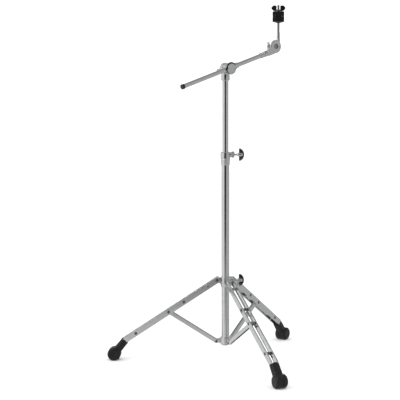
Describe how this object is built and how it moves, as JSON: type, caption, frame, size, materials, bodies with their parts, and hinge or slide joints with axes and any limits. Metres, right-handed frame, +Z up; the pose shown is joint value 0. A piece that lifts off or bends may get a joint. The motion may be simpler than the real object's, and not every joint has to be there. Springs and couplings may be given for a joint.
{
  "type": "cymbal boom stand",
  "caption": "Folding double-braced tripod stand in chrome with a telescopic mast, a tilting boom arm and a felt-cushioned post for a crash cymbal.",
  "frame": {"origin": "on the floor, under the middle of the stand's box; the column axis is at x = 0.099, y = 0", "axes": "+Z up along the column, -X towards the single left leg, +X towards the two wing bolts, between the other two legs"},
  "size_m": [0.6649, 0.7662, 1.2905],
  "materials": {
    "chrome": "polished chrome plate on steel tube and zinc castings",
    "black_rubber": "satin moulded rubber",
    "black_plastic": "satin moulded nylon",
    "black_felt": "pressed wool felt"
  },
  "bodies": {
    "root": {"base_tube": "chrome", "base_tube_plug": "black_plastic", "lower_bracket": "chrome", "height_clamp": "chrome", "height_lock_nut": "chrome", "left_leg_bracket_pin": "chrome", "rear_leg_bracket_pin": "chrome", "front_leg_bracket_pin": "chrome"},
    "collar": {"tripod_collar": "chrome"},
    "collar_bolt": {"collar_wing_bolt": "chrome"},
    "height_bolt": {"height_wing_bolt": "chrome"},
    "left_leg": {"left_leg_rail_a": "chrome", "left_leg_rail_b": "chrome", "left_leg_pivot_pin": "chrome", "left_leg_spacer": "chrome", "left_leg_end_rivet": "chrome", "left_leg_brace_stud_a": "chrome", "left_leg_brace_stud_b": "chrome", "left_leg_foot": "black_rubber"},
    "left_brace": {"left_leg_brace": "chrome"},
    "rear_leg": {"rear_leg_rail_a": "chrome", "rear_leg_rail_b": "chrome", "rear_leg_pivot_pin": "chrome", "rear_leg_spacer": "chrome", "rear_leg_end_rivet": "chrome", "rear_leg_brace_stud_a": "chrome", "rear_leg_brace_stud_b": "chrome", "rear_leg_foot": "black_rubber"},
    "rear_brace": {"rear_leg_brace": "chrome"},
    "front_leg": {"front_leg_rail_a": "chrome", "front_leg_rail_b": "chrome", "front_leg_pivot_pin": "chrome", "front_leg_spacer": "chrome", "front_leg_end_rivet": "chrome", "front_leg_brace_stud_a": "chrome", "front_leg_brace_stud_b": "chrome", "front_leg_foot": "black_rubber"},
    "front_brace": {"front_leg_brace": "chrome"},
    "guide_bush": {"height_bush": "black_plastic"},
    "mast": {"upper_tube": "chrome", "tilter_base": "chrome"},
    "tilter": {"tilter_drum": "chrome", "tilter_eye_bolt": "chrome", "tilter_ring": "black_plastic"},
    "tilter_nut": {"tilter_wing_nut": "chrome"},
    "boom": {"boom_tube": "chrome", "boom_end_cap": "black_plastic"},
    "boom_head": {"boom_ferrule": "chrome", "head_tilter_lower": "chrome", "head_tilter_ring": "black_plastic"},
    "head": {"head_tilter_upper": "chrome", "head_tilter_bolt": "chrome", "cymbal_rod": "chrome", "rod_sleeve": "chrome", "seat_cup": "black_plastic", "lower_felt": "black_felt"},
    "head_nut": {"head_wing_nut": "chrome"},
    "top_felt": {"upper_felt": "black_felt"},
    "top_nut": {"top_wing_nut": "black_plastic"}
  },
  "joints": [
    {"name": "tripod_fold", "type": "slide", "parent": "root", "child": "collar", "axis": [0, 0, 1], "range_m": [0, 0.19]},
    {"name": "collar_bolt_turn", "type": "hinge", "parent": "collar", "child": "collar_bolt", "pos_m": [0.099, 0, 0.302], "axis": [1, 0, 0], "continuous": true},
    {"name": "height_bolt_turn", "type": "hinge", "parent": "root", "child": "height_bolt", "pos_m": [0.099, 0, 0.759], "axis": [1, 0, 0], "continuous": true},
    {"name": "left_leg_fold", "type": "hinge", "parent": "collar", "child": "left_leg", "pos_m": [0.069, 0, 0.3018], "axis": [0, -1, 0], "range_deg": [0, 52.1]},
    {"name": "left_brace_fold", "type": "hinge", "parent": "root", "child": "left_brace", "pos_m": [0.066, 0, 0.0748], "axis": [0, 1, 0], "range_deg": [0, 54.8]},
    {"name": "rear_leg_fold", "type": "hinge", "parent": "collar", "child": "rear_leg", "pos_m": [0.114, 0.02598, 0.3018], "axis": [-0.866, 0.5, 0], "range_deg": [0, 52.1]},
    {"name": "rear_brace_fold", "type": "hinge", "parent": "root", "child": "rear_brace", "pos_m": [0.1155, 0.02858, 0.0748], "axis": [0.866, -0.5, 0], "range_deg": [0, 54.8]},
    {"name": "front_leg_fold", "type": "hinge", "parent": "collar", "child": "front_leg", "pos_m": [0.114, -0.02598, 0.3018], "axis": [0.866, 0.5, 0], "range_deg": [0, 52.1]},
    {"name": "front_brace_fold", "type": "hinge", "parent": "root", "child": "front_brace", "pos_m": [0.1155, -0.02858, 0.0748], "axis": [-0.866, -0.5, 0], "range_deg": [0, 54.8]},
    {"name": "mast_swivel", "type": "hinge", "parent": "root", "child": "guide_bush", "pos_m": [0.099, 0, 0.725], "axis": [0, 0, 1], "continuous": true},
    {"name": "mast_height", "type": "slide", "parent": "guide_bush", "child": "mast", "axis": [0, 0, 1], "range_m": [-0.17, 0.26]},
    {"name": "boom_tilt", "type": "hinge", "parent": "mast", "child": "tilter", "pos_m": [0.099, 0, 1.068], "axis": [0.658, -0.753, 0], "range_deg": [-60, 34]},
    {"name": "tilter_nut_turn", "type": "hinge", "parent": "tilter", "child": "tilter_nut", "pos_m": [0.099, 0, 1.068], "axis": [-0.658, 0.753, 0], "continuous": true},
    {"name": "boom_slide", "type": "slide", "parent": "tilter", "child": "boom", "axis": [0.7238, 0.6325, 0.2756], "range_m": [-0.1, 0.16]},
    {"name": "boom_roll", "type": "hinge", "parent": "boom", "child": "boom_head", "pos_m": [0.11479, -0.01807, 1.068], "axis": [0.7238, 0.6325, 0.2756], "range_deg": [-60, 60]},
    {"name": "head_tilt", "type": "hinge", "parent": "boom_head", "child": "head", "pos_m": [0.25367, 0.13517, 1.14146], "axis": [0.658, -0.753, 0], "range_deg": [-60, 30]},
    {"name": "head_nut_turn", "type": "hinge", "parent": "head", "child": "head_nut", "pos_m": [0.25367, 0.13517, 1.14146], "axis": [-0.658, 0.753, 0], "continuous": true},
    {"name": "felt_lift", "type": "slide", "parent": "head", "child": "top_felt", "axis": [0, 0, 1], "range_m": [0, 0.045]},
    {"name": "top_nut_turn", "type": "hinge", "parent": "top_felt", "child": "top_nut", "pos_m": [0.28389, 0.13767, 1.27146], "axis": [0, 0, 1], "continuous": true}
  ],
  "couplings": [
    {"joint": "left_leg_fold", "follows": "tripod_fold", "rad_per_m": 4.7744},
    {"joint": "left_brace_fold", "follows": "tripod_fold", "rad_per_m": 5.0239},
    {"joint": "rear_leg_fold", "follows": "tripod_fold", "rad_per_m": 4.7744},
    {"joint": "rear_brace_fold", "follows": "tripod_fold", "rad_per_m": 5.0239},
    {"joint": "front_leg_fold", "follows": "tripod_fold", "rad_per_m": 4.7744},
    {"joint": "front_brace_fold", "follows": "tripod_fold", "rad_per_m": 5.0239}
  ]
}
